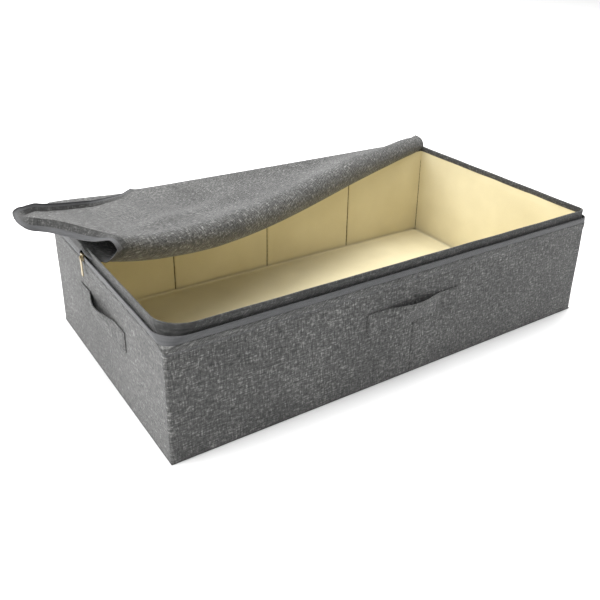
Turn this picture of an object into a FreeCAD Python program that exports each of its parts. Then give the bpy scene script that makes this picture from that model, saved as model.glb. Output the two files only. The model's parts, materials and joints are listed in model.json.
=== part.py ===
"""Folding under bed box of fabric over stiffening boards, with a zip-on lid folded back diagonally.

Units are millimetres. The origin is the centre of the base on the floor, +X runs along the box
to the right, +Y to the back wall, where the lid is sewn on, and +Z up.
"""
import FreeCAD, Part
import math
import os

import Sketcher

V = FreeCAD.Vector
X_AXIS, Y_AXIS, Z_AXIS = V(1, 0, 0), V(0, 1, 0), V(0, 0, 1)

doc = FreeCAD.newDocument("UnderBedBox")

# ---------------------------------------------------------------- driving dimensions
SIZES = {
    # the box
    "box_length": 800, "box_depth": 450, "box_height": 200, "seam_height": 171,
    "fabric": 0.8, "board": 3.0, "lining": 0.8, "lip_inset": 1.0,
    "wall_panels": 4, "panel_gap": 4, "board_margin": 3,
    # the loose base board
    "base_gap": 3.0, "base_core": 3.4, "base_cover": 0.8, "play": 0.3,
    # zip on the box
    "tape_bottom": 164, "tape_top": 185.5, "tape_thick": 0.6, "tape_stand": 2.0,
    "coil_wide": 1.8, "coil_high": 2.5, "stop_long": 5,
    # lid, and the zip band round its edge
    "lid_edge": 2, "lid_under": 205.8, "lid_thick": 1.2, "band_thick": 1.0,
    "band_seam": 197, "band_bottom": 190.4, "zipped_from": 66,
    "hinge_strip_low": 185,
    # folds of the lid: the diagonal crease, the back rim and the floor behind
    "crease_left_y": -35, "crease_right_y": 215, "crease_height": 212, "crease_gap": 1.5,
    "crease_trim": 42, "rim_fold_y": 229, "floor_fold_z": 0.9, "fold_gap": 1.0, "corner_trim": 20,
    # zip sliders
    "slider_long": 9, "slider_inner": -0.2, "slider_outer": 4.8, "plate": 1.2,
    "slider_low": 179.5, "slider_top": 190.2, "inner_low": 181.5,
    "left_slider_y": 59, "right_slider_y": 203,
    "crown_reach": 3.4, "crown_high": 5.1, "crown_wide": 2.0, "pivot_out": 6.4, "pivot_z": 185, "pivot_hole": 1.3,
    "pull_pin": 1.0, "pull_long": 30, "pull_wide": 5, "pull_thick": 1.2, "pull_fork": 2.0,
    # strap handles
    "strap_low": 98, "strap_wide": 33, "strap_thick": 2.4, "strap_half": 90, "patch_long": 35,
    "strap_rise": 12, "strap_play": 0.5,
}

sheet = doc.addObject("Spreadsheet::Sheet", "Sizes")
for row, (alias, number) in enumerate(SIZES.items(), start=1):
    sheet.set("A%d" % row, alias)
    sheet.set("B%d" % row, str(number))
    sheet.setAlias("B%d" % row, alias)
doc.recompute()


def size(alias):
    """The number that the sheet holds under this alias."""
    return float(getattr(sheet, alias))


nodes = []


def node(item, label):
    """Keep this object as one sub-part, written to a file of this name."""
    item.Label = label
    nodes.append(item)
    return item


def box(name, low, dims, placement=None):
    """A Part::Box at low = (x, y, z); low and dims are expressions of the sheet's aliases."""
    item = doc.addObject("Part::Box", name)
    for prop, expression in zip(("Length", "Width", "Height"), dims):
        item.setExpression(prop, expression)
    if placement is None:
        for prop, expression in zip(("x", "y", "z"), low):
            item.setExpression("Placement.Base." + prop, expression)
    else:
        item.Placement = placement.multiply(FreeCAD.Placement(V(*low), FreeCAD.Rotation()))
    return item


def origin_plane(body, role):
    return [item for item in body.Origin.OriginFeatures if item.Role == role][0]


def sketch_on(body, name, role, offset=0.0):
    """A sketch on one of the body's own origin planes, moved by offset along its normal."""
    sketch = body.newObject("Sketcher::SketchObject", name)
    sketch.AttachmentSupport = (origin_plane(body, role), [""])
    sketch.MapMode = "FlatFace"
    sketch.AttachmentOffset = FreeCAD.Placement(V(0, 0, offset), FreeCAD.Rotation())
    return sketch


def pin_point(sketch, edge, corner, point, expressions):
    """Fix one corner of a sketch edge at a pair of expressions of the sheet's aliases."""
    for kind, number, expression in zip(("DistanceX", "DistanceY"), point, expressions):
        index = sketch.addConstraint(Sketcher.Constraint(kind, -1, 1, edge, corner, number))
        sketch.setExpression("Constraints[%d]" % index, expression)


def outline(sketch, points, closed=True):
    """Straight edges through points, each a pair of expressions that are bound to the sheet."""
    numbers = [tuple(evaluate(text) for text in pair) for pair in points]
    count = len(points) if closed else len(points) - 1
    for index in range(count):
        start, end = numbers[index], numbers[(index + 1) % len(points)]
        sketch.addGeometry(Part.LineSegment(V(*start, 0), V(*end, 0)))
    for index in range(count if closed else count - 1):
        sketch.addConstraint(Sketcher.Constraint("Coincident", index, 2, (index + 1) % count, 1))
    for index, (number, pair) in enumerate(zip(numbers, points)):
        if index < count:
            pin_point(sketch, index, 1, number, pair)
        else:
            pin_point(sketch, index - 1, 2, number, pair)


def evaluate(expression):
    """The value of an expression of the sheet's aliases, worked out by the document itself."""
    return float(sheet.evalExpression(expression))


# ---------------------------------------------------------------- outer fabric of the box
HALF_X, HALF_Y = "Sizes.box_length / 2", "Sizes.box_depth / 2"
WALL_RISE = "Sizes.seam_height - Sizes.fabric"
FULL_RISE = "Sizes.box_height - Sizes.fabric"


def make_outer_fabric():
    """The base cloth and four walls; the front and side walls end at the zip seam."""
    node(box("OuterBottom", ("-" + HALF_X, "-" + HALF_Y, "0"),
             ("Sizes.box_length", "Sizes.box_depth", "Sizes.fabric")), "outer_bottom")
    node(box("OuterFront", ("-" + HALF_X, "-" + HALF_Y, "Sizes.fabric"),
             ("Sizes.box_length", "Sizes.fabric", WALL_RISE)), "outer_front")
    node(box("OuterBack", ("-" + HALF_X, HALF_Y + " - Sizes.fabric", "Sizes.fabric"),
             ("Sizes.box_length", "Sizes.fabric", FULL_RISE)), "outer_back")
    side_run = "Sizes.box_depth - 2 * Sizes.fabric"
    for label, x in (("left", "-" + HALF_X), ("right", HALF_X + " - Sizes.fabric")):
        node(box("Outer" + label.title(), (x, "-" + HALF_Y + " + Sizes.fabric", "Sizes.fabric"),
                 ("Sizes.fabric", side_run, WALL_RISE)), "outer_" + label)


# ---------------------------------------------------------------- stiffening boards and lining
WALL = "(Sizes.fabric + Sizes.board + Sizes.lining)"
SKIN = "(Sizes.fabric + Sizes.board)"


def make_boards():
    """Cardboard in pockets: four boards in each long wall, one in each end wall."""
    count = int(size("wall_panels"))
    pitch = "(Sizes.box_length - 2 * %s) / Sizes.wall_panels" % WALL
    for side in ("front", "back"):
        y = "-%s + Sizes.fabric" % HALF_Y if side == "front" else "%s - %s" % (HALF_Y, SKIN)
        top = "Sizes.seam_height" if side == "front" else "Sizes.box_height - Sizes.board_margin"
        for index in range(count):
            x = "-%s + %s + %d * %s + Sizes.panel_gap / 2" % (HALF_X, WALL, index, pitch)
            node(box("%sBoard%d" % (side.title(), index + 1), (x, y, "2 * Sizes.fabric"),
                     (pitch + " - Sizes.panel_gap", "Sizes.board", top + " - 2 * Sizes.fabric")),
                 "%s_board_%d" % (side, index + 1))
    for side in ("left", "right"):
        x = "-%s + Sizes.fabric" % HALF_X if side == "left" else "%s - %s" % (HALF_X, SKIN)
        node(box(side.title() + "Board", (x, "-%s + %s + Sizes.panel_gap / 2" % (HALF_Y, WALL),
                                          "2 * Sizes.fabric"),
                 ("Sizes.board", "Sizes.box_depth - 2 * %s - Sizes.panel_gap" % WALL,
                  "Sizes.seam_height - 2 * Sizes.fabric")), side + "_board")


def make_lining():
    """The pale inner cloth, from the base to the rim."""
    low = "2 * Sizes.fabric"
    rise = "Sizes.box_height - 2 * Sizes.fabric"
    long_run = "Sizes.box_length - 2 * " + SKIN
    short_run = "Sizes.box_depth - 2 * " + WALL
    node(box("LiningFloor", ("-" + HALF_X + " + Sizes.fabric", "-" + HALF_Y + " + Sizes.fabric",
                             "Sizes.fabric"),
             ("Sizes.box_length - 2 * Sizes.fabric", "Sizes.box_depth - 2 * Sizes.fabric",
              "Sizes.lining")), "lining_floor")
    for side in ("front", "back"):
        y = "-%s + %s" % (HALF_Y, SKIN) if side == "front" else "%s - %s" % (HALF_Y, WALL)
        node(box("Lining" + side.title(), ("-%s + %s" % (HALF_X, SKIN), y, low),
                 (long_run, "Sizes.lining", rise)), "lining_" + side)
    for side in ("left", "right"):
        x = "-%s + %s" % (HALF_X, SKIN) if side == "left" else "%s - %s" % (HALF_X, WALL)
        node(box("Lining" + side.title(), (x, "-%s + %s" % (HALF_Y, WALL), low),
                 ("Sizes.lining", short_run, rise)), "lining_" + side)


def make_lips():
    """The band of cloth above the zip seam that the closed lid's band drops over."""
    thick = SKIN + " - Sizes.lip_inset"
    rise = "Sizes.box_height - Sizes.seam_height"
    node(box("LipFront", ("-%s + Sizes.lip_inset" % HALF_X, "-%s + Sizes.lip_inset" % HALF_Y,
                          "Sizes.seam_height"),
             ("Sizes.box_length - 2 * Sizes.lip_inset", thick, rise)), "lip_front")
    run = "Sizes.box_depth - %s - Sizes.fabric" % SKIN
    for side in ("left", "right"):
        x = "-%s + Sizes.lip_inset" % HALF_X if side == "left" else "%s - %s" % (HALF_X, SKIN)
        node(box("Lip" + side.title(), (x, "-%s + %s" % (HALF_Y, SKIN), "Sizes.seam_height"),
                 (thick, run, rise)), "lip_" + side)


# ---------------------------------------------------------------- zip round the box
def rim_sweep(name, label, profile):
    """A profile in (outward, height) carried round the left, front and right walls."""
    body = doc.addObject("PartDesign::Body", name)
    spine = sketch_on(body, name + "Spine", "XY_Plane")
    outline(spine, (("-" + HALF_X, HALF_Y), ("-" + HALF_X, "-" + HALF_Y), (HALF_X, "-" + HALF_Y),
                    (HALF_X, HALF_Y)), closed=False)
    section = sketch_on(body, name + "Section", "XZ_Plane", -size("box_depth") / 2)
    outline(section, [("-%s - (%s)" % (HALF_X, out), height) for out, height in profile])
    doc.recompute()
    pipe = body.newObject("PartDesign::AdditivePipe", name + "Pipe")
    pipe.Profile = section
    pipe.Spine = (spine, ["Edge1", "Edge2", "Edge3"])
    pipe.Transition = "Right corner"
    return node(body, label)


def make_box_zip():
    """Tape sewn on below the seam and standing off towards its coil, the coil, and end stops."""
    rim_sweep("BoxZipTape", "box_zip_tape", (
        ("0", "Sizes.tape_bottom"), ("Sizes.tape_thick", "Sizes.tape_bottom"),
        ("Sizes.tape_thick", "Sizes.seam_height"),
        ("Sizes.tape_stand + Sizes.tape_thick", "Sizes.tape_top"),
        ("Sizes.tape_stand", "Sizes.tape_top"), ("0", "Sizes.seam_height")))
    middle = "Sizes.tape_stand + Sizes.tape_thick / 2"
    coil_top = "Sizes.tape_top + Sizes.coil_high"
    rim_sweep("BoxZipCoil", "box_zip_coil", (
        (middle + " - Sizes.coil_wide / 2", "Sizes.tape_top"),
        (middle + " + Sizes.coil_wide / 2", "Sizes.tape_top"),
        (middle + " + Sizes.coil_wide / 2", coil_top),
        (middle + " - Sizes.coil_wide / 2", coil_top)))
    stops = []
    for side, x in (("Left", "-%s - Sizes.tape_stand - 2 * Sizes.tape_thick" % HALF_X),
                    ("Right", "%s + Sizes.tape_stand - Sizes.tape_thick" % HALF_X)):
        stops.append(box("ZipStop" + side, (x, HALF_Y, "Sizes.tape_top - Sizes.coil_high"),
                         ("3 * Sizes.tape_thick", "Sizes.stop_long", "2 * Sizes.coil_high")))
    pair = doc.addObject("Part::Compound", "ZipStops")
    pair.Links = stops
    node(pair, "zip_end_stops")


# ---------------------------------------------------------------- zip sliders and their pulls
def side_placement(side, y):
    """The right wall's pieces are the left wall's turned half a turn about Z."""
    turn = 0 if side == "left" else 180
    x = -size("box_length") / 2 if side == "left" else size("box_length") / 2
    return FreeCAD.Placement(V(x, y, 0), FreeCAD.Rotation(Z_AXIS, turn))


def padded_body(name, profile, length, middle=0.0):
    """A profile in (outward, height), padded to both sides of y = middle."""
    body = doc.addObject("PartDesign::Body", name)
    section = sketch_on(body, name + "Section", "XZ_Plane", -middle)
    outline(section, [("-(%s)" % out, height) for out, height in profile])
    doc.recompute()
    pad = body.newObject("PartDesign::Pad", name + "Pad")
    pad.Profile = section
    pad.setExpression("Length", length)
    pad.Midplane = True
    return body


def pivot_cylinder(name, radius, length):
    """A cylinder along the pull's pivot line, centred on the slider."""
    item = doc.addObject("Part::Cylinder", name)
    item.setExpression("Radius", radius)
    item.setExpression("Height", length)
    item.Placement = FreeCAD.Placement(V(-size("pivot_out"), evaluate(length) / 2, size("pivot_z")),
                                       FreeCAD.Rotation(X_AXIS, 90))
    return item


def make_slider(side, y):
    """Two plates joined over the coil, with a crown that the pull hangs from."""
    name = side.title()
    shell = padded_body(name + "SliderShell", (
        ("Sizes.slider_outer", "Sizes.slider_low"), ("Sizes.slider_outer", "Sizes.slider_top"),
        ("Sizes.slider_inner", "Sizes.slider_top"), ("Sizes.slider_inner", "Sizes.inner_low"),
        ("Sizes.slider_inner + Sizes.plate", "Sizes.inner_low"),
        ("Sizes.slider_inner + Sizes.plate", "Sizes.slider_top - Sizes.plate"),
        ("Sizes.slider_outer - Sizes.plate", "Sizes.slider_top - Sizes.plate"),
        ("Sizes.slider_outer - Sizes.plate", "Sizes.slider_low")), "Sizes.slider_long")
    crown = box(name + "Crown", ("-Sizes.slider_outer - Sizes.crown_reach", "-Sizes.crown_wide / 2",
                                 "Sizes.pivot_z - Sizes.crown_high / 2"),
                ("Sizes.crown_reach", "Sizes.crown_wide", "Sizes.crown_high"))
    hole = pivot_cylinder(name + "CrownHole", "Sizes.pivot_hole", "2 * Sizes.crown_wide")
    ring = doc.addObject("Part::Cut", name + "CrownRing")
    ring.Base, ring.Tool = crown, hole
    slider = doc.addObject("Part::MultiFuse", name + "Slider")
    slider.Shapes = [shell, ring]
    slider.Placement = side_placement(side, y)
    node(slider, side + "_slider")


def make_pull(side, y):
    """The tab: two lugs either side of the crown, a pin through it and a flat blade below."""
    name = side.title()
    fork = "Sizes.crown_wide + 2 * Sizes.play"
    lugs = []
    for mark, low in (("A", "-(%s) / 2 - Sizes.pull_fork" % fork), ("B", "(%s) / 2" % fork)):
        lugs.append(box(name + "Lug" + mark, ("-Sizes.pivot_out - Sizes.pull_pin", low,
                                             "Sizes.pivot_z - Sizes.crown_reach - Sizes.plate"),
                        ("2 * Sizes.pull_pin", "Sizes.pull_fork",
                         "Sizes.crown_reach + Sizes.plate + Sizes.pull_pin")))
    pin = pivot_cylinder(name + "PullPin", "Sizes.pull_pin", fork + " + 2 * Sizes.pull_fork")
    blade = box(name + "Blade", ("-Sizes.pivot_out - Sizes.pull_thick / 2",
                                 "-(%s) / 2 - Sizes.pull_fork" % fork,
                                 "Sizes.pivot_z - Sizes.pull_long"),
                ("Sizes.pull_thick", fork + " + 2 * Sizes.pull_fork",
                 "Sizes.pull_long - Sizes.crown_reach"))
    pull = doc.addObject("Part::MultiFuse", name + "Pull")
    pull.Shapes = lugs + [pin, blade]
    pull.Placement = side_placement(side, y)
    node(pull, side + "_pull")


# ---------------------------------------------------------------- strap handles
HANDLES = {"front": (V(0, -1, 0), 0), "left": (V(-1, 0, 0), -90), "right": (V(1, 0, 0), 90)}


def handle_placement(side):
    """From a strap on a wall that faces -Y, with its face at y = 0, to this wall."""
    outward, turn = HANDLES[side]
    reach = size("box_depth") / 2 if side == "front" else size("box_length") / 2
    return FreeCAD.Placement(outward * reach, FreeCAD.Rotation(Z_AXIS, turn))


def make_handle(side):
    """A strap sewn to the wall at both ends, with a loose arched grip between."""
    name = side.title()
    for mark, start in (("a", "-Sizes.strap_half"), ("b", "Sizes.strap_half - Sizes.patch_long")):
        patch = doc.addObject("PartDesign::Body", name + "Patch" + mark.upper())
        square = sketch_on(patch, name + "PatchSketch" + mark.upper(), "XY_Plane",
                           size("strap_low"))
        end = start + " + Sizes.patch_long"
        outline(square, ((start, "0"), (end, "0"), (end, "-Sizes.strap_thick"),
                         (start, "-Sizes.strap_thick")))
        doc.recompute()
        pad = patch.newObject("PartDesign::Pad", name + "PatchPad" + mark.upper())
        pad.Profile = square
        pad.setExpression("Length", "Sizes.strap_wide")
        patch.Placement = handle_placement(side)
        node(patch, "%s_handle_patch_%s" % (side, mark))

    grip = doc.addObject("PartDesign::Body", name + "Grip")
    arch = sketch_on(grip, name + "GripSketch", "XY_Plane", size("strap_low"))
    half = size("strap_half") - size("patch_long") - size("strap_play")
    inner, outer = size("strap_rise"), size("strap_rise") + size("strap_thick")
    foot = size("strap_thick")
    low_arc = Part.Arc(V(-half, -size("play"), 0), V(0, -inner, 0), V(half, -size("play"), 0))
    high_arc = Part.Arc(V(-half, -size("play") - foot, 0), V(0, -outer, 0),
                        V(half, -size("play") - foot, 0))
    arch.addGeometry([low_arc, high_arc,
                      Part.LineSegment(V(-half, -size("play"), 0), V(-half, -size("play") - foot, 0)),
                      Part.LineSegment(V(half, -size("play"), 0), V(half, -size("play") - foot, 0))])
    doc.recompute()
    pad = grip.newObject("PartDesign::Pad", name + "GripPad")
    pad.Profile = arch
    pad.setExpression("Length", "Sizes.strap_wide")
    grip.Placement = handle_placement(side)
    node(grip, side + "_handle_grip")


# ---------------------------------------------------------------- loose base board
def make_base_board():
    """A cardboard core wrapped in pale cloth, laid on the lined floor."""
    cavity_x = "Sizes.box_length - 2 * %s - 2 * Sizes.base_gap" % WALL
    cavity_y = "Sizes.box_depth - 2 * %s - 2 * Sizes.base_gap" % WALL
    low = "2 * Sizes.fabric + Sizes.play"
    high = "Sizes.base_core + 2 * Sizes.base_cover"
    wrap = box("BaseWrap", ("-(%s) / 2" % cavity_x, "-(%s) / 2" % cavity_y, low),
               (cavity_x, cavity_y, high))
    core_at = ("-(%s) / 2 + Sizes.base_cover" % cavity_x, "-(%s) / 2 + Sizes.base_cover" % cavity_y,
               low + " + Sizes.base_cover")
    core_dims = (cavity_x + " - 2 * Sizes.base_cover", cavity_y + " - 2 * Sizes.base_cover",
                 "Sizes.base_core")
    core = box("BaseCore", core_at, core_dims)
    pocket = box("BasePocket", core_at, core_dims)
    cover = doc.addObject("Part::Cut", "BaseCover")
    cover.Base, cover.Tool = wrap, pocket
    node(core, "base_board_core")
    node(cover, "base_board_cover")


# ---------------------------------------------------------------- the lid and its folds
crease_left = V(-size("box_length") / 2, size("crease_left_y"), size("crease_height"))
crease_right = V(size("box_length") / 2, size("crease_right_y"), size("crease_height"))
crease_axis = (crease_right - crease_left).normalize()
crease_turn = math.degrees(math.atan2(crease_axis.y, crease_axis.x))
top_middle = 2 * size("crease_height") - size("lid_under") - size("lid_thick") / 2


def turn_about(point, axis, angle):
    return FreeCAD.Placement(V(), FreeCAD.Rotation(axis, angle), point)


CREASE = turn_about(crease_left, crease_axis, 180)
RIM = turn_about(V(0, size("rim_fold_y"), top_middle), X_AXIS, -90)
FLOOR = turn_about(V(0, size("rim_fold_y"), size("floor_fold_z")), X_AXIS, 90)
FOLDS = {"rear": [], "front": [CREASE], "drop": [CREASE, RIM], "tail": [CREASE, RIM, FLOOR]}
REACH = 2000            # longer than the lid is in any direction, for the regions between folds


def folded(steps):
    """The placement that carries the flat, closed lid through these folds in turn."""
    placement = FreeCAD.Placement()
    for step in steps:
        placement = step.multiply(placement)
    return placement


def layer(name, kind, steps, start="-" + HALF_Y + " - Sizes.lid_edge"):
    """One layer of the flat, closed lid: its cloth, or a strip of the band at one edge."""
    outer_x = "%s + Sizes.lid_edge" % HALF_X
    outer_y = "%s + Sizes.lid_edge" % HALF_Y
    full_x = "Sizes.box_length + 2 * Sizes.lid_edge"
    levels = {"panel": ("Sizes.lid_under", "Sizes.lid_thick"),
              "band": ("Sizes.band_seam", "Sizes.lid_under - Sizes.band_seam"),
              "tape": ("Sizes.band_bottom", "Sizes.band_seam - Sizes.band_bottom")}
    side, _, level = kind.rpartition("_")
    low, high = levels[level]
    along = "%s - (%s)" % (HALF_Y, start)
    spans = {"": ("-(%s)" % outer_x, start, full_x, along),
             "left": ("-(%s)" % outer_x, start, "Sizes.band_thick", along),
             "right": (outer_x + " - Sizes.band_thick", start, "Sizes.band_thick", along),
             "front": ("-(%s)" % outer_x, "-(%s)" % outer_y, full_x, "Sizes.band_thick")}
    x, y, width, depth = spans[side]
    corner = tuple(evaluate(text) for text in (x, y, low))
    return box(name, corner, (width, depth, high), folded(steps))


def strip(name, low_y, high_y, steps, turn=0.0):
    """The region low_y < y < high_y of the flat lid, or of its plane after these folds."""
    item = doc.addObject("Part::Box", name)
    item.Length, item.Width, item.Height = 2 * REACH, high_y - low_y, 2 * REACH
    base = FreeCAD.Placement(V(-REACH, low_y, -REACH), FreeCAD.Rotation())
    if turn:
        about = FreeCAD.Placement(crease_left, FreeCAD.Rotation(Z_AXIS, turn))
        item.Placement = about.multiply(base)
    else:
        item.Placement = folded(steps).multiply(base)
    return item


def lid_piece(label, kind, fold, low_y, high_y, start="-" + HALF_Y + " - Sizes.lid_edge"):
    """One piece of the folded lid: a layer of the flat lid between two fold lines."""
    name = "".join(word.title() for word in label.split("_"))
    steps = FOLDS[fold]
    pieces = [layer(name + "Layer", kind, steps, start)]
    gap = size("crease_gap") if kind == "panel" else size("crease_trim")
    if fold == "rear":
        pieces.append(strip(name + "Crease", gap, REACH, [], turn=crease_turn))
    else:
        behind = strip(name + "Crease", gap, REACH, [], turn=crease_turn)
        behind.Placement = folded(steps[1:]).multiply(behind.Placement)
        pieces.append(behind)
        pieces.append(strip(name + "Strip", low_y, high_y, steps[1:]))
    common = doc.addObject("Part::MultiCommon", name)
    common.Shapes = pieces
    return node(common, label)


def make_lid():
    """The lid in one cloth: a fixed rear triangle, and three parts beyond its folds."""
    rim, gap, trim = size("rim_fold_y"), size("fold_gap"), size("corner_trim")
    floor = rim + top_middle - size("floor_fold_z")
    inside_edge = "-%s - Sizes.lid_edge + Sizes.band_thick" % HALF_Y
    lid_piece("lid_rear_panel", "panel", "rear", 0, 0)
    for level in ("band", "tape"):
        lid_piece("lid_rear_left_" + level, "left_" + level, "rear", 0, 0, "Sizes.zipped_from")
        lid_piece("lid_front_left_" + level, "left_" + level, "front", -REACH, rim - gap,
                  inside_edge)
    spans = {"front": (-REACH, rim - gap, -REACH, rim - gap),
             "drop": (rim + gap, floor - gap, rim + gap, floor - trim),
             "tail": (floor + gap, REACH, floor + trim, REACH)}
    for fold, (low, high, band_low, band_high) in spans.items():
        lid_piece("lid_%s_panel" % fold, "panel", fold, low, high)
        for level in ("band", "tape"):
            lid_piece("lid_%s_front_%s" % (fold, level), "front_" + level, fold, band_low, band_high)
            if fold != "front":
                lid_piece("lid_%s_right_%s" % (fold, level), "right_" + level, fold,
                          band_low, band_high, inside_edge)
    node(box("LidHingeStrip", ("-" + HALF_X, HALF_Y, "Sizes.hinge_strip_low"),
             ("Sizes.box_length", "Sizes.fabric",
              "Sizes.lid_under + Sizes.lid_thick - Sizes.hinge_strip_low")), "lid_hinge_strip")


# ---------------------------------------------------------------- build, check and write
def check_and_write():
    doc.recompute()
    for item in doc.Objects:
        if "Invalid" in item.State or "Error" in item.State:
            raise RuntimeError("%s did not rebuild: %s" % (item.Name, item.State))
    os.makedirs("parts", exist_ok=True)
    for item in nodes:
        shape = item.Shape
        if shape.isNull() or not shape.isValid() or not shape.Solids:
            raise RuntimeError("%s has no valid solid" % item.Label)
        shape.exportStep("parts/%s.step" % item.Label)
        print("%-26s %10.1f mm3, %d solid(s)" % (item.Label, shape.Volume, len(shape.Solids)))


make_outer_fabric()
make_boards()
make_lining()
make_lips()
make_box_zip()
for wall in ("left", "right"):
    make_slider(wall, size(wall + "_slider_y"))
    make_pull(wall, size(wall + "_slider_y"))
for wall in HANDLES:
    make_handle(wall)
make_base_board()
make_lid()
check_and_write()
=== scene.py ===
"""Looks of a cloth under bed box: melange outer cloth, cream lining, zip, straps and folded lid.

Metres, in the row frame: origin at the centre of the base on the floor, +X right, +Y to the back.
"""
import json
import math

import bpy
import numpy as np
from mathutils import Matrix, Vector


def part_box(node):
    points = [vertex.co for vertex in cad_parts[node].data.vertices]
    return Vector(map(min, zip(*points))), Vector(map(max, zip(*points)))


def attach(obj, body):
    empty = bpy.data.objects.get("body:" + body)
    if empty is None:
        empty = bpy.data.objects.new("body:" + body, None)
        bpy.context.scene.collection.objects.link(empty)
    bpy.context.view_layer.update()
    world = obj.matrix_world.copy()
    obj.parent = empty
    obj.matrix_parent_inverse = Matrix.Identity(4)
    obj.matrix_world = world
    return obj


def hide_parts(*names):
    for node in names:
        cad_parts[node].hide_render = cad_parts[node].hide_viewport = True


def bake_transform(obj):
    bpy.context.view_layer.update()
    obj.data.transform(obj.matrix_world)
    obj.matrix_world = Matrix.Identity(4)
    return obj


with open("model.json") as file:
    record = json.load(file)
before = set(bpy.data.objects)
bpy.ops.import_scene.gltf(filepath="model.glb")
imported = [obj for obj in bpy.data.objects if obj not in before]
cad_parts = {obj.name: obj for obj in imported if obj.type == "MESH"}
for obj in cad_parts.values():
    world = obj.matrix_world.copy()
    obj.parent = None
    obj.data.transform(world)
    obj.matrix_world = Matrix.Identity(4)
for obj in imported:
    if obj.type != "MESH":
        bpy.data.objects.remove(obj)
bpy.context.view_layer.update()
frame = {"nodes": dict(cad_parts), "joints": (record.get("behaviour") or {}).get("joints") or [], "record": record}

# ---------------------------------------------------------------- sizes taken from the frame
HALF_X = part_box("outer_bottom")[1].x
HALF_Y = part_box("outer_bottom")[1].y
RIM_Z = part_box("outer_back")[1].z
SEAM_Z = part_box("outer_front")[1].z
TAPE_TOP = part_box("box_zip_tape")[1].z
STRAP_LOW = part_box("front_handle_grip")[0].z
STRAP_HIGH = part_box("front_handle_grip")[1].z
STRAP_HALF = -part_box("front_handle_patch_a")[0].x
PATCH_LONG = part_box("front_handle_patch_a")[1].x + STRAP_HALF
WALL = HALF_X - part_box("lining_right")[0].x
BOARD_LOW, BOARD_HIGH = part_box("base_board_cover")
MM = 0.001
FACES_WALL = 0.7             # a normal with more than this along an axis faces that wall


def smooth(value, low, high):
    """0 below low, 1 above high, with an even turn between."""
    t = np.clip((np.asarray(value, float) - low) / (high - low), 0, 1)
    return t * t * (3 - 2 * t)


WAVE_PEAK = 3.2              # six waves seldom add up to more than this


def waves(a, b, size, seed):
    """A slow, even ripple between -1 and 1 over two coordinates, in metres."""
    rng = np.random.default_rng(seed)
    total = np.zeros(np.broadcast(a, b).shape)
    for _ in range(6):
        angle, phase, stretch = rng.uniform(0, 2 * math.pi, 2).tolist() + [rng.uniform(0.7, 1.6)]
        turn = 2 * math.pi * stretch / size
        total = total + np.sin((a * math.cos(angle) + b * math.sin(angle)) * turn + phase)
    return total / WAVE_PEAK


def lengths_along(points):
    """Each point's distance along the line through them."""
    return np.concatenate([[0], np.cumsum(np.linalg.norm(np.diff(points, axis=0), axis=1))])


def unit(vectors, least=1e-9):
    """The vectors at a length of one."""
    return vectors / np.maximum(np.linalg.norm(vectors, axis=-1), least)[..., None]


# ---------------------------------------------------------------- materials
def new_material(name):
    material = bpy.data.materials.new(name)
    material.use_nodes = True
    nodes, links = material.node_tree.nodes, material.node_tree.links
    return material, nodes, links, nodes["Principled BSDF"]


def scaled_uv(nodes, links, scale, source="UV"):
    coords = nodes.new("ShaderNodeTexCoord")
    mapping = nodes.new("ShaderNodeMapping")
    mapping.inputs["Scale"].default_value = scale
    links.new(coords.outputs[source], mapping.inputs["Vector"])
    return mapping.outputs["Vector"]


def noise(nodes, links, vector, scale=1.0, detail=2.0, roughness=0.5):
    texture = nodes.new("ShaderNodeTexNoise")
    texture.inputs["Scale"].default_value = scale
    texture.inputs["Detail"].default_value = detail
    texture.inputs["Roughness"].default_value = roughness
    links.new(vector, texture.inputs["Vector"])
    return texture.outputs["Fac"]


def mixed(nodes, links, kind, first, second):
    """Two colours or values combined by a Math node."""
    node = nodes.new("ShaderNodeMath")
    node.operation = kind
    for socket, value in zip(node.inputs, (first, second)):
        if isinstance(value, (int, float)):
            socket.default_value = value
        else:
            links.new(value, socket)
    return node.outputs[0]


def ramp(nodes, links, factor, stops):
    node = nodes.new("ShaderNodeValToRGB")
    elements = node.color_ramp.elements
    while len(elements) < len(stops):
        elements.new(0.5)
    for element, (place, colour) in zip(elements, stops):
        element.position = place
        element.color = (*colour, 1)
    links.new(factor, node.inputs["Fac"])
    return node.outputs["Color"]


def bumped(nodes, links, shader, height, strength, distance):
    bump = nodes.new("ShaderNodeBump")
    bump.inputs["Strength"].default_value = strength
    bump.inputs["Distance"].default_value = distance
    links.new(height, bump.inputs["Height"])
    links.new(bump.outputs["Normal"], shader.inputs["Normal"])


WAVE_PERIOD = 0.314          # a wave texture at a scale of 1 repeats after this length


def weave_height(nodes, links, pitch):
    """Over and under threads, one wave each way along the cloth."""
    heights = []
    for axis in ("X", "Y"):
        wave = nodes.new("ShaderNodeTexWave")
        wave.bands_direction = axis
        wave.inputs["Scale"].default_value = 1.0
        wave.inputs["Distortion"].default_value = 1.2
        wave.inputs["Detail"].default_value = 1.0
        turns = WAVE_PERIOD / pitch
        links.new(scaled_uv(nodes, links, (turns, turns, turns)), wave.inputs["Vector"])
        heights.append(wave.outputs["Fac"])
    return mixed(nodes, links, "ADD", heights[0], heights[1])


SLUB_TONES = ((0.40, 0.006), (0.47, 0.034), (0.53, 0.073), (0.61, 0.26))     # noise level, grey
BLUE_SHARE = 0.965           # a little less blue, so that the grey is warm
SPECK_SHARE, PATCH_SHARE = 0.9, 0.22


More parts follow.
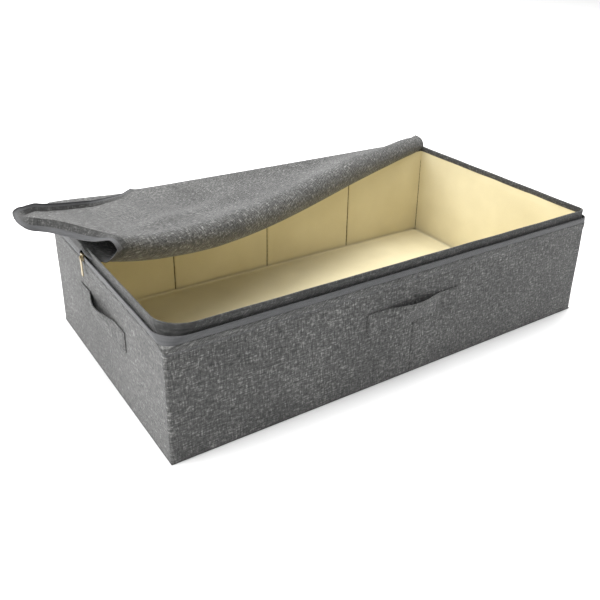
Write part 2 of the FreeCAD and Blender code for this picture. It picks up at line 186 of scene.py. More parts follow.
def melange_cloth(name, painted_shade_factor):
    """Linen-look cloth: long light and dark slubs along both thread directions. The factor scales the whole
    colour; under 1 it paints shade.
    """
    material, nodes, links, shader = new_material(name)
    warp = noise(nodes, links, scaled_uv(nodes, links, (480, 70, 1)), detail=3, roughness=0.7)
    weft = noise(nodes, links, scaled_uv(nodes, links, (70, 480, 1)), detail=3, roughness=0.7)
    speck = noise(nodes, links, scaled_uv(nodes, links, (230, 230, 1)), detail=3, roughness=0.6)
    patchy = noise(nodes, links, scaled_uv(nodes, links, (16, 16, 16), "Object"), detail=2)
    threads = mixed(nodes, links, "ADD", warp, weft)
    for texture, share in ((speck, SPECK_SHARE), (patchy, PATCH_SHARE)):
        part = mixed(nodes, links, "MULTIPLY", texture, share)
        threads = mixed(nodes, links, "ADD", threads, part)
    threads = mixed(nodes, links, "DIVIDE", threads, 2 + SPECK_SHARE + PATCH_SHARE)
    colour = ramp(nodes, links, threads, [
        (stop, (tone * painted_shade_factor, tone * painted_shade_factor, BLUE_SHARE * tone * painted_shade_factor)) for stop, tone in SLUB_TONES])
    links.new(colour, shader.inputs["Base Color"])
    shader.inputs["Roughness"].default_value = 0.92
    shader.inputs["Sheen Weight"].default_value = 0.25
    shader.inputs["Sheen Roughness"].default_value = 0.5
    height = mixed(nodes, links, "ADD", weave_height(nodes, links, 0.0011), threads)
    bumped(nodes, links, shader, height, 0.45, 0.0005)
    return material


def cream_lining():
    """Pressed non-woven cloth: even cream with a faint dimpled grid and a little mottle."""
    material, nodes, links, shader = new_material("cream_lining")
    mottle = noise(nodes, links, scaled_uv(nodes, links, (9, 9, 9), "Object"), detail=4)
    fibre = noise(nodes, links, scaled_uv(nodes, links, (420, 420, 1)), detail=3, roughness=0.7)
    factor = mixed(nodes, links, "ADD", mixed(nodes, links, "MULTIPLY", mottle, 0.75),
                   mixed(nodes, links, "MULTIPLY", fibre, 0.25))
    colour = ramp(nodes, links, factor, [
        (0.3, (0.60, 0.53, 0.335)), (0.5, (0.66, 0.59, 0.385)), (0.7, (0.72, 0.65, 0.435))])
    links.new(colour, shader.inputs["Base Color"])
    shader.inputs["Roughness"].default_value = 0.85
    shader.inputs["Sheen Weight"].default_value = 0.1
    height = mixed(nodes, links, "ADD", weave_height(nodes, links, 0.0016), fibre)
    bumped(nodes, links, shader, height, 0.3, 0.0003)
    return material


def zip_tape_cloth():
    """Close-woven tape: fine ribs across it, smoother than the cloth."""
    material, nodes, links, shader = new_material("zip_tape")
    wear = noise(nodes, links, scaled_uv(nodes, links, (60, 400, 1)), detail=3)
    colour = ramp(nodes, links, wear, [(0.3, (0.034, 0.035, 0.037)), (0.7, (0.062, 0.063, 0.067))])
    links.new(colour, shader.inputs["Base Color"])
    shader.inputs["Roughness"].default_value = 0.62
    shader.inputs["Sheen Weight"].default_value = 0.2
    bumped(nodes, links, shader, weave_height(nodes, links, 0.0007), 0.4, 0.0002)
    return material


def plain_surface(name, low, high, roughness, metallic=0.0, grain=300.0, bump=0.0002):
    """A moulded, plated or board surface: slight colour variation, wear and grain."""
    material, nodes, links, shader = new_material(name)
    grains = noise(nodes, links, scaled_uv(nodes, links, (grain, grain, grain), "Object"), detail=3)
    links.new(ramp(nodes, links, grains, [(0.35, low), (0.65, high)]), shader.inputs["Base Color"])
    rough = mixed(nodes, links, "ADD", mixed(nodes, links, "MULTIPLY", grains, 0.15), roughness)
    links.new(rough, shader.inputs["Roughness"])
    shader.inputs["Metallic"].default_value = metallic
    bumped(nodes, links, shader, grains, 0.25, bump)
    return material


CLOTH = melange_cloth("melange_cloth", 1.0)
# A copy of the cloth darkened to 0.45 as painted shade, for the rim lip and the lid's edge band.
PAINTED_SHADE_CLOTH = melange_cloth("melange_cloth_lip", 0.45)
LINING = cream_lining()
TAPE = zip_tape_cloth()
COIL = plain_surface("zip_coil", (0.035, 0.035, 0.038), (0.06, 0.06, 0.064), 0.35)
METAL = plain_surface("plated_metal", (0.36, 0.29, 0.17), (0.50, 0.42, 0.27), 0.32, 1.0, 500.0)
CARD = plain_surface("cardboard", (0.30, 0.22, 0.13), (0.42, 0.32, 0.20), 0.85, 0.0, 120.0)
BROWN = plain_surface("seam_binding", (0.05, 0.035, 0.015), (0.10, 0.07, 0.03), 0.8, 0.0, 600.0)
THREAD = plain_surface("sewing_thread", (0.06, 0.06, 0.06), (0.11, 0.11, 0.11), 0.7, 0.0, 900.0)
MATERIALS = {"outer_fabric": CLOTH, "lining": LINING, "zip_tape": TAPE, "zip_coil": COIL,
             "slider_metal": METAL, "cardboard": CARD}


def paint_frame():
    """Every CAD node gets the material of its slot; the soft ones are replaced further down."""
    slots = {entry["node"]: entry["material_slot"] for entry in frame["record"]["subparts"]}
    for name, item in frame["nodes"].items():
        item.data.materials.clear()
        item.data.materials.append(MATERIALS[slots[name]])


# ---------------------------------------------------------------- mesh helpers
def make_object(name, points, faces, uvs, material, normals=None):
    """A smooth mesh from points, faces and one UV pair per point."""
    mesh = bpy.data.meshes.new(name)
    mesh.from_pydata([tuple(p) for p in points], [], faces)
    layer = mesh.uv_layers.new(name="UVMap")
    index = np.empty(len(mesh.loops), int)
    mesh.loops.foreach_get("vertex_index", index)
    layer.data.foreach_set("uv", np.asarray(uvs, float)[index].ravel())
    mesh.polygons.foreach_set("use_smooth", [True] * len(mesh.polygons))
    mesh.materials.append(material)
    mesh.update()
    if normals is not None:
        mesh.normals_split_custom_set_from_vertices([tuple(n) for n in normals])
    item = bpy.data.objects.new(name, mesh)
    bpy.context.scene.collection.objects.link(item)
    return item


def grid_faces(rows, columns, closed=False):
    faces = []
    for i in range(rows - 1):
        for j in range(columns if closed else columns - 1):
            k = (j + 1) % columns
            faces.append((i * columns + j, i * columns + k, (i + 1) * columns + k,
                          (i + 1) * columns + j))
    return faces


def grid_object(name, points, along, up, material, closed=False):
    """A grid of points, rows by columns by three; along and up are the cloth's own metres."""
    rows, columns = points.shape[:2]
    uvs = np.stack(np.broadcast_arrays(along, up), -1).reshape(-1, 2)
    return make_object(name, points.reshape(-1, 3), grid_faces(rows, columns, closed), uvs,
                       material)


# ---------------------------------------------------------------- the outline of the box
TURN = 12                            # steps round a corner
SEWN_AT = (0.25, 0.5, 0.75)          # shares of a long wall where its board pockets are sewn
BESIDE_SEAM = (0, 0.8, 1.6, 2.6, 4.2)                # millimetres from a sewn line
CLEAR_OF_SEAM = 0.008                                # share of a wall
LOW_CORNER = 5                                       # corner radius below the rim, in millimetres
OPENED_AT_RIM = (40, 9, 4)           # and what the left front, right front and back ones gain there


def straight_shares():
    """Shares along a wall: even steps, with close ones at each sewn line."""
    close = [line + way * gap * MM / (2 * HALF_X)
             for line in SEWN_AT for gap in BESIDE_SEAM for way in (-1, 1)]
    even = [share for share in np.linspace(0, 1, 81)[1:-1]
            if min(abs(share - line) for line in SEWN_AT) > CLEAR_OF_SEAM]
    return sorted(set(close + even))


SHARES = straight_shares()


def corner_radius(z, opened):
    """A wall's corner is sharp low down and opens at the rim by a length in millimetres."""
    return (LOW_CORNER + opened * float(smooth(z, SEAM_Z - 5 * MM, RIM_Z - 4 * MM))) * MM


def wall_loop(z, inset):
    """Points, outward normals and lengths round the box, from the back left corner."""
    x, y = HALF_X - inset, HALF_Y - inset
    left, right, back = [max(corner_radius(z, opened) - inset, 1.5 * MM) for opened in OPENED_AT_RIM]
    corners = [(-x, y, back, 90, 180), (-x, -y, left, 180, 270), (x, -y, right, 270, 360),
               (x, y, back, 0, 90)]
    points, normals = [], []
    for index, (cx, cy, radius, start, end) in enumerate(corners):
        centre = np.array([cx - math.copysign(radius, cx), cy - math.copysign(radius, cy)])
        for step in range(TURN + 1):
            angle = math.radians(start + (end - start) * step / TURN)
            way = np.array([math.cos(angle), math.sin(angle)])
            points.append(centre + radius * way)
            normals.append(way)
        nx, ny, nr, nstart, _ = corners[(index + 1) % 4]
        ncentre = np.array([nx - math.copysign(nr, nx), ny - math.copysign(nr, ny)])
        way = np.array([math.cos(math.radians(nstart)), math.sin(math.radians(nstart))])
        first, last = points[-1], ncentre + nr * way
        for share in SHARES:
            points.append(first + (last - first) * share)
            normals.append(way)
    points, normals = np.array(points), np.array(normals)
    return points, normals, lengths_along(points)


OPEN_COUNT = 4 * (TURN + 1) + 3 * len(SHARES)      # the loop without its back stretch


def seam_groove(points, normals, places, depth, width):
    """How far the upright sewn lines at some x pull the long walls in."""
    pull = np.zeros(len(points))
    facing = np.abs(normals[:, 1]) > FACES_WALL
    for place in places:
        pull += facing * np.exp(-((points[:, 0] - place) / width) ** 2)
    return depth * pull


def swept_rows(rows, count=None, shape=None):
    """Grid of points from (height, inset) rows; shape adds a push out along the normal."""
    grid, along = [], None
    for z, inset in rows:
        points, normals, lengths = wall_loop(z, inset)
        if shape is not None:
            points = points + normals * shape(points, normals, z)[:, None]
        grid.append(np.column_stack([points, np.full(len(points), z)])[:count])
        along = lengths[:count] if along is None else along
    return np.array(grid), along


def wall_piece(name, rows, shape, material, stands_for, count=None):
    """A sheet swept round the walls and fixed to the box; a count leaves the back wall out."""
    grid, along = swept_rows(rows, count, shape)
    item = grid_object(name, grid, along[None, :], grid[:, :, 2], material,
                       closed=count is None)
    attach(item, "box")
    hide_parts(*stands_for)


CLOTH_OVER = 0.9 * MM                # the wall's cloth stands this far over the zip tape


def tape_stand(z):
    """How far the tape stands off the wall at a height, from its seam to its free edge."""
    return (0.35 + 2.0 * float(smooth(z, SEAM_Z - 2 * MM, TAPE_TOP))) * MM


def make_outer_shell():
    """Front, side and back walls: taut over the boards, a little uneven, sewn at mid front."""
    def shape(points, normals, z):
        middle = math.sin(math.pi * min(z / SEAM_Z, 1.0))
        uneven = 0.45 * MM * waves(points[:, 0] + points[:, 1], z, 0.16, 11) * middle
        crease = seam_groove(points, normals, [0.0], 0.9 * MM, 1.6 * MM)
        front = (normals[:, 1] < -FACES_WALL).astype(float)
        return uneven - crease * front

    levels = np.concatenate([[0.6, 1.2, 2.4, 4.0], np.linspace(7, 164, 42)])
    rows = [(z * MM, max(0.0, 0.9 - z * 0.3) * MM) for z in levels]
    rows += [(z * MM, -CLOTH_OVER * float(smooth(z, 162, 172)) - tape_stand(z * MM))
             for z in (167, 170, 173, 175, 176.6)]
    rows += [(177.2 * MM, -0.5 * MM - tape_stand(177 * MM)), (176.4 * MM, -tape_stand(177 * MM))]
    wall_piece("outer_walls", rows, shape, CLOTH,
               ("outer_front", "outer_left", "outer_right", "outer_back"))


def make_lip():
    """The cloth band above the zip seam, turned over the rim, and the back wall's top."""
    def shape(points, normals, z):
        rise = float(smooth(z, SEAM_Z, RIM_Z))
        return 0.5 * MM * rise * waves(points[:, 0] - points[:, 1], z, 0.11, 23)

    rows = [(z * MM, inset * MM) for z, inset in (
        (169.5, 0.9), (172, 1.2), (176, 2.0), (181, 2.6), (186, 2.7), (191, 2.5), (195, 2.1),
        (198, 1.7), (199.6, 1.9), (200.4, 2.6), (200.2, 3.5), (199.2, 4.4), (197.4, 5.3),
        (194, 5.7), (190.6, 5.8), (189.9, 5.3), (189.6, 4.2))]
    # the lip is drawn in the darkened cloth copy, which paints shade on it
    wall_piece("rim_lip", rows, shape, PAINTED_SHADE_CLOTH,
               ("lip_front", "lip_left", "lip_right", "lid_hinge_strip"))


def make_lining():
    """The lining hangs from the rim: each board's pocket is a soft panel between sewn lines."""
    inner_x = HALF_X - WALL
    seams = [-inner_x / 2, 0.0, inner_x / 2]

    def shape(points, normals, z):
        middle = float(smooth(z, 0, 30 * MM) * (1 - smooth(z, RIM_Z - 25 * MM, RIM_Z)))
        long_wall = np.abs(normals[:, 1]) > FACES_WALL
        across = np.where(long_wall, np.abs(np.sin(2 * math.pi * points[:, 0] / inner_x)),
                          np.cos(math.pi * np.clip(points[:, 1] / HALF_Y / 2, -0.5, 0.5)))
        pillow = 0.9 * MM * across * middle
        uneven = 0.5 * MM * waves(points[:, 0] + 2 * points[:, 1], z, 0.13, 5) * middle
        groove = seam_groove(points, normals, seams, 2.2 * MM, 1.3 * MM)
        return -pillow + uneven * 0.6 + groove - 0.5 * MM * middle

    levels = np.concatenate([[2.0, 3.5, 6, 9, 13], np.linspace(18, 190, 40), [193, 196.5]])
    rows = [(z * MM, WALL + 0.1 * MM + 1.2 * MM * math.exp(-z / 5)) for z in levels]
    wall_piece("lining_walls", rows[::-1], shape, LINING,
               ("lining_front", "lining_back", "lining_left", "lining_right", "lining_floor"))
    make_lining_floor(inner_x + 1 * MM, HALF_Y - WALL + 1 * MM)
    make_lining_seams(inner_x, HALF_Y - WALL, seams)


def make_lining_floor(reach_x, reach_y):
    """The lining's cloth over the bottom, just under the base board."""
    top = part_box("lining_floor")[1].z - 0.2 * MM
    cloth = slab_object("lining_floor_cloth", Vector((-reach_x, -reach_y, top - 0.4 * MM)),
                        Vector((reach_x, reach_y, top)), 0.2 * MM, 0.0, LINING)
    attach(cloth, "box")


def make_lining_seams(inner_x, inner_y, seams):
    """Brown binding up each sewn line of the long walls and up the four corners."""
    lines = []
    for way in (-1, 1):
        for x in seams:
            lines.append([(x, way * (inner_y + 0.9 * MM), z) for z in (2 * MM, 195 * MM)])
        for side in (-1, 1):
            lines.append([(side * (inner_x - 0.6 * MM), way * (inner_y - 0.6 * MM), z)
                          for z in (2 * MM, 170 * MM)])
    for number, ends in enumerate(lines):
        path = np.linspace(*np.array(ends), 60)
        seam = tube_along("lining_seam_%d" % number, path, 0.75 * MM, BROWN)
        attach(seam, "box")


def slab_object(name, low, high, radius, crown, material, columns=60, rows=36):
    """A flat wrapped board: rounded edges and a faintly crowned, uneven face above."""
    xs = np.linspace(low.x + radius, high.x - radius, columns)
    ys = np.linspace(low.y + radius, high.y - radius, rows)
    thick = high.z - low.z
    profile = [(math.sin(a) * radius, math.cos(a) * min(radius, thick / 2))
               for a in np.linspace(0, math.pi, 9)]
    ring = ([(x, ys[0], 0, -1) for x in xs] + [(xs[-1], y, 1, 0) for y in ys]
            + [(x, ys[-1], 0, 1) for x in xs[::-1]] + [(xs[0], y, -1, 0) for y in ys[::-1]])
    ring = np.array(ring)
    rim = []
    for out, rise in profile:
        z = np.full(len(ring), (low.z + high.z) / 2 + rise)
        rim.append(np.column_stack([ring[:, :2] + ring[:, 2:] * out, z]))
    rim = np.array(rim)
    points = list(rim.reshape(-1, 3))
    faces = [tuple(reversed(f)) for f in grid_faces(len(rim), len(ring), closed=True)]
    for side in (1, -1):
        start = len(points)
        gx, gy = np.meshgrid(xs, ys, indexing="ij")
        edge = np.minimum.reduce([gx - xs[0], xs[-1] - gx, gy - ys[0], ys[-1] - gy])
        lift = 0
        if side > 0:
            lift = crown * smooth(edge, 0, 0.05) * (1 + 0.6 * waves(gx, gy, 0.25, 31))
        z = np.full(gx.shape, (low.z + high.z) / 2 + side * profile[0][1]) + lift
        points += list(np.stack([gx, gy, z], -1).reshape(-1, 3))
        for face in grid_faces(columns, rows):
            face = tuple(start + i for i in face)
            faces.append(face if side > 0 else tuple(reversed(face)))
    points = np.array(points)
    item = make_object(name, points, faces, points[:, :2], material)
    weld = item.modifiers.new("weld", "WELD")
    weld.merge_threshold = 0.00005
    apply_modifiers(item)
    return item


def tube_along(name, path, radius, material, sides=8):
    """A sewn seam's raised line: a fine, slightly uneven tube along a path."""
    ahead = unit(np.gradient(path, axis=0))
    side = unit(np.cross(ahead, [0.6, 0.8, 0.001]))
    up = np.cross(side, ahead)
    swell = radius * (1 + 0.15 * np.sin(np.arange(len(path)) * 1.9))[:, None]
    rings = [path + swell * (side * math.cos(a) + up * math.sin(a))
             for a in np.linspace(0, 2 * math.pi, sides, endpoint=False)]
    return grid_object(name, np.stack(rings, 1), np.linspace(0, 6 * radius, sides)[None, :],
                       np.linspace(0, 1, len(path))[:, None], material, closed=True)


def apply_modifiers(item):
    """Put the modifiers' result in the mesh itself."""
    bpy.context.view_layer.update()
    evaluated = item.evaluated_get(bpy.context.evaluated_depsgraph_get())
    mesh = bpy.data.meshes.new_from_object(evaluated)
    item.modifiers.clear()
    item.data = mesh


def make_base_board():
    """The loose board in its cloth cover."""
    cover = slab_object("base_board_cloth", BOARD_LOW, BOARD_HIGH, 2.2 * MM, 0.5 * MM, LINING)
    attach(cover, "base_board")
    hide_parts("base_board_cover", "base_board_core")


# ---------------------------------------------------------------- zip round the box
def make_box_zip():
    """Tape sewn under the rim, its free edge, and the coil that runs along it."""
    def shape(points, normals, z):
        free = float(smooth(z, SEAM_Z + 4 * MM, TAPE_TOP))
        return 0.35 * MM * free * waves(points[:, 0] - points[:, 1], 0, 0.13, 41)

    heights = [165, 167, 169.5, 171, 173, 176, 179, 182, 184.5, 186.2]
    outer = [(z * MM, -tape_stand(z * MM) - 0.3 * MM) for z in heights]
    turned = [(186.9 * MM, -tape_stand(TAPE_TOP))]
    inner = [(z * MM, -tape_stand(z * MM) + 0.3 * MM) for z in heights[:2:-1]]
    wall_piece("rim_zip_tape", outer + turned + inner, shape, TAPE, ("box_zip_tape",),
               OPEN_COUNT)

    coil_row = [(TAPE_TOP + 1.0 * MM, -tape_stand(TAPE_TOP) + 0.35 * MM)]
    middle, _ = swept_rows(coil_row, OPEN_COUNT, shape)
    coil = coil_along("rim_zip_coil", middle[0], 0.95 * MM)
    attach(coil, "box")
    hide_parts("box_zip_coil")


def even_points(path, step):
    """The path at even steps, with each step's length along it."""
    lengths = lengths_along(path)
    count = max(int(lengths[-1] / step), 4)
    wanted = np.linspace(0, lengths[-1], count)
    return np.column_stack([np.interp(wanted, lengths, path[:, k]) for k in range(3)]), wanted


def coil_along(name, path, radius, pitch=1.9 * MM, sides=6):
    """A zip coil as one beaded tube: each turn of the spiral is a bead."""
    centre, length = even_points(path, pitch / 4)
    ahead = unit(np.gradient(centre, axis=0))
    side = unit(np.cross(ahead, [0, 0, 1.0]), least=1e-6)
    up = np.cross(side, ahead)
    bead = radius * (0.78 + 0.22 * np.cos(2 * math.pi * length / pitch))
    rings = []
    for k in range(sides):
        angle = 2 * math.pi * k / sides
        rings.append(centre + bead[:, None] * (side * math.cos(angle) + up * math.sin(angle)))
    grid = np.stack(rings, 1)
    turns = np.linspace(0, 2 * math.pi * radius, sides)
    return grid_object(name, grid, turns[None, :], length[:, None], COIL, closed=True)


# ---------------------------------------------------------------- stitches
STITCH_PITCH, STITCH_LONG, STITCH_WIDE = 3.6 * MM, 2.5 * MM, 0.55 * MM
STITCH_RINGS = ((-1, 0.45, 0.0), (-0.55, 1, 0.8), (0.55, 1, 0.8), (1, 0.45, 0.0))    # end, width, rise


def stitch_row(points, faces, uvs, path, normals):
    """Add a row of short raised threads along a path."""
    spots, length = even_points(path, STITCH_PITCH)
    way = unit(np.gradient(spots, axis=0))
    out = unit(np.column_stack([np.interp(length, np.linspace(0, length[-1], len(normals)),
                                          normals[:, k]) for k in range(3)]))
    across = np.cross(way, out)
    for spot, forward, away, side in zip(spots, way, out, across):
        start = len(points)
        for end, width, rise in STITCH_RINGS:
            middle = spot + forward * end * STITCH_LONG / 2
            radius = STITCH_WIDE / 2 * width
            for turn in range(6):
                angle = math.pi * turn / 3
                points.append(middle + side * math.cos(angle) * radius
                              + away * (math.sin(angle) * radius + rise * STITCH_WIDE * 0.4))
                uvs.append((end * STITCH_LONG, turn * STITCH_WIDE))
        for ring in range(3):
            for k in range(6):
                a, b = start + ring * 6 + k, start + ring * 6 + (k + 1) % 6
                faces.append((a, b, b + 6, a + 6))
        faces.append(tuple(start + k for k in range(5, -1, -1)))
        faces.append(tuple(start + 18 + k for k in range(6)))


def stitches(name, rows, body):
    """Rows of stitches as one piece."""
    points, faces, uvs = [], [], []
    for path, normals in rows:
        stitch_row(points, faces, uvs, np.array(path, float), np.array(normals, float))
    item = make_object(name, points, faces, uvs, THREAD)
    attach(item, body)


def make_rim_stitches():
    """The seam that holds the tape to the wall."""
    level = 174 * MM
    points, normals, _ = wall_loop(level, -tape_stand(level) - CLOTH_OVER - 0.1 * MM)
    path = np.column_stack([points, np.full(len(points), level)])[:OPEN_COUNT]
    out = np.column_stack([normals, np.zeros(len(normals))])[:OPEN_COUNT]
    stitches("rim_seam_stitches", [(path, out)], "box")


# ---------------------------------------------------------------- strap handles
HANDLE_WALLS = {             # middle of the wall, way along it, way out of it
    "front": ((0, -HALF_Y), (1, 0), (0, -1)),
    "left": ((-HALF_X, 0), (0, -1), (-1, 0)),
    "right": ((HALF_X, 0), (0, 1), (1, 0))}
STRAP_WIDE = STRAP_HIGH - STRAP_LOW
STRAP_THICK, STRAP_EDGE = 2.2 * MM, 1.1 * MM
STRAP_GAP = 0.35 * MM        # between the wall and a sewn end
STRAP_REACH = STRAP_HALF - PATCH_LONG
STRAP_ARCH = 10.8 * MM


def strap_offset(a, t):
    """How far the strap's inner face stands off the wall; a is along it, t is 0 low to 1 high."""
    arch = np.cos(math.pi / 2 * np.clip(np.abs(a) / STRAP_REACH, 0, 1)) ** 1.35
    lean = 0.30 + 0.70 * t
    wrinkle = 0.5 * MM * np.sin(a / (6.3 * MM) + 4 * t) * arch * (1 - t)
    return STRAP_GAP + STRAP_ARCH * arch * lean + wrinkle


def strap_section():
    """The strap's outline as (share of its width, 1 on the outer face and 0 on the inner)."""
    faces = {1.0: [k / 8 for k in range(9)], 0.0: [k / 8 for k in range(8, -1, -1)]}
    section = []
    for outer, start, centre in ((1.0, math.pi / 2, 1), (0.0, -math.pi / 2, 0)):
        section += [(share, outer) for share in faces[outer]]
        for k in range(1, 6):
            angle = start - math.pi * k / 6
            section.append((centre + math.cos(angle) * STRAP_EDGE / STRAP_WIDE,
                            0.5 + 0.5 * math.sin(angle)))
    return np.array(section)


def make_handle(side):
    """Folded strap, sewn flat at both ends, with an open arch between."""
    base, tangent, outward = (np.array([*v, 0.0]) for v in HANDLE_WALLS[side])
    share, outer = strap_section().T
    z = STRAP_LOW + STRAP_EDGE + share * (STRAP_WIDE - 2 * STRAP_EDGE)
    around = np.linspace(0, 2 * STRAP_WIDE, len(share))
    for half, sign in (("a", -1), ("b", 1)):
        stations = np.linspace(STRAP_HALF, 0.0, 61) * sign
        grid = []
        for a in stations:
            n = strap_offset(a, np.clip(share, 0, 1)) + outer * STRAP_THICK
            end = float(smooth(abs(a), STRAP_HALF - 2 * MM, STRAP_HALF))
            n = n * (1 - end) + (STRAP_GAP + STRAP_THICK / 2) * end
            dent = np.exp(-((abs(a) - STRAP_HALF + 4 * MM) / (1.2 * MM)) ** 2)
            n = n - 0.25 * MM * dent * outer
            grid.append(base + a * tangent + n[:, None] * outward + np.array([0, 0, 1.0]) * z[:, None])
        grid = np.array(grid)
        if sign > 0:
            grid = grid[:, ::-1]
        strap = grid_object("%s_strap_%s" % (side, half), grid, np.abs(stations)[:, None],
                            around[None, :], CLOTH, closed=True)
        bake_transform(strap)
        nodes = ["%s_handle_patch_%s" % (side, half)]
        if half == "a":
            nodes.append(side + "_handle_grip")
        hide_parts(*nodes)
    stitch_strap(side, base, tangent, outward)


def stitch_strap(side, base, tangent, outward):
    """A square of stitches through each sewn end."""
    inner, outer = STRAP_REACH + 3 * MM, STRAP_HALF - 3.5 * MM
    low, high = STRAP_LOW + 3.5 * MM, STRAP_HIGH - 3.5 * MM
    corners = [(inner, low), (outer, low), (outer, high), (inner, high), (inner, low)]
    rows = []
    for sign in (-1, 1):
        for (a0, z0), (a1, z1) in zip(corners, corners[1:]):
            path = []
            for f in np.linspace(0.06, 0.94, 12):
                a, z = a0 + (a1 - a0) * f, z0 + (z1 - z0) * f
                n = float(strap_offset(a, (z - STRAP_LOW) / STRAP_WIDE)) + STRAP_THICK + 0.05 * MM
                path.append(base + sign * a * tangent + n * outward + np.array([0, 0, z]))
            rows.append((path, [outward] * len(path)))
    stitches(side + "_strap_stitches", rows, "box")


# ---------------------------------------------------------------- the lid
JOINTS = {joint["name"]: joint for joint in frame["joints"]}
CREASE_AT = np.array(JOINTS["lid_close"]["pos_m"][:2])
ALONG = np.array(JOINTS["lid_close"]["axis"][:2])
ACROSS = np.array([-ALONG[1], ALONG[0]])
LID_X = HALF_X + 2 * MM
LID_FRONT, LID_BACK = -HALF_Y - 2 * MM, HALF_Y
LID_ROUND = 14 * MM
CREASE_LONG = 2 * HALF_X / ALONG[0]


def crease_place(x, y):
    """A flat point's distance along the fold from its left end, and its distance behind it."""
    x, y = x - CREASE_AT[0], y - CREASE_AT[1]
    return x * ALONG[0] + y * ALONG[1], x * ACROSS[0] + y * ACROSS[1]


def along_crease(u, values):
    """A value along the fold, on straight lines through (share of the fold, value) pairs."""
    shares, numbers = zip(*values)
    return np.interp(np.clip(u / CREASE_LONG, shares[0], shares[-1]), shares, numbers)


ROLL_RADIUS = ((-0.05, 13), (0.08, 17), (0.15, 21), (0.3, 25), (0.7, 26), (0.85, 21), (1, 19))
ROLL_NOSE = ((-0.05, 22), (0.05, 20), (0.25, 10), (1, 6))
LEFT_END_Z, RIGHT_END_Z = 198 * MM, 184 * MM    # the roll's lower line at its two ends
OVER_THE_WALL = 9 * MM                          # it climbs this much more over the left wall
SAG_DEPTH = 45 * MM                             # and hangs this far between them,
SAG_LEANS_LEFT = 0.64                           # deepest a third of the way from the left
SAG_NARROWS = 1.4


def fold_shape(u):
    """The rolled fold: its radius, how far back its nose lies, and its lowest height."""
    radius = along_crease(u, ROLL_RADIUS) * MM
    nose = along_crease(u, ROLL_NOSE) * MM
    share = np.clip(u / CREASE_LONG, -0.05, 1)
    hung_from = (LEFT_END_Z + (RIGHT_END_Z - LEFT_END_Z) * share
                 + OVER_THE_WALL * np.maximum(-share, 0) / 0.05)
    sag = np.sin(math.pi * np.clip(share, 0, 1) ** SAG_LEANS_LEFT) ** SAG_NARROWS
    return radius, nose, hung_from - SAG_DEPTH * sag


SQUARE_TO_ROUND = 0.42       # 0.5 would draw a square corner in to a full quarter circle


def rounded(x, y):
    """The flat lid with its two front corners drawn in to a soft round."""
    flat_x, flat_y = LID_X - LID_ROUND, LID_FRONT + LID_ROUND
    a = np.maximum(np.abs(x) - flat_x, 0) / LID_ROUND
    b = np.maximum(flat_y - y, 0) / LID_ROUND
    round_x = flat_x + LID_ROUND * a * np.sqrt(1 - SQUARE_TO_ROUND * b ** 2)
    round_y = flat_y - LID_ROUND * b * np.sqrt(1 - SQUARE_TO_ROUND * a ** 2)
    return np.where(a > 0, np.sign(x) * round_x, x), np.where(b > 0, round_y, y)


SEWN_Z = 206.5 * MM          # the rear layer where it is sewn to the back rim
ON_WALL_Z = 204 * MM         # cloth that lies on the left wall
UPPER_Z = 213.5 * MM         # the upper layer where it goes over the back rim
LEAST_SPAN = 20 * MM         # least width of a layer, where the fold meets the back rim
GATHERED = (                 # along the fold in metres, then the share of the upper layer's length kept
    (-0.06, 0.0, 0.07, 0.15, 0.30, 0.50), (0.81, 0.79, 0.72, 0.745, 0.87, 1.0))


def rear_height(x, y, v, low, share):
    """Height of the layer that stays down, from the roll to the seam at the back rim."""
    corner_lift = 8 * MM * np.exp(-((x + HALF_X) / 0.10) ** 2 - ((y - HALF_Y) / 0.09) ** 2)
    z = low + (SEWN_Z + corner_lift - low) * smooth(share, 0, 1)
    wall_hold = np.exp(-np.maximum(x + HALF_X, 0) / 0.05)
    return z + (ON_WALL_Z - z) * wall_hold * (z < ON_WALL_Z) * smooth(v, 0.05, 0.10)


def upper_height(u, w, low, share):
    """Height of the folded-back layer, from the top of the roll to the back rim."""
    rim_level = UPPER_Z - 2 * MM * np.sin(math.pi * np.clip(u / CREASE_LONG, 0, 1))
    z = low + (rim_level - low) * smooth(share, 0, 1)
    hollow = np.sin(math.pi * share)
    z = z - 7 * MM * hollow * smooth(u, 0.04, 0.25) * (1 - smooth(u, 0.45, 0.8))
    z = z + 2.6 * MM * hollow * waves(u, w, 0.21, 3)
    ridge = np.exp(-((w - 0.062 - 0.10 * np.clip(u, 0, 1)) / 0.016) ** 2)
    z = z + 4.0 * MM * ridge * smooth(u, 0.02, 0.08) * (1 - smooth(u, 0.20, 0.42))
    lifted = np.exp(-np.maximum(u + 0.03, 0) / 0.04)
    return np.maximum(z, 0.0) + lifted * (0.13 * np.clip(w - 0.055, 0, 1))


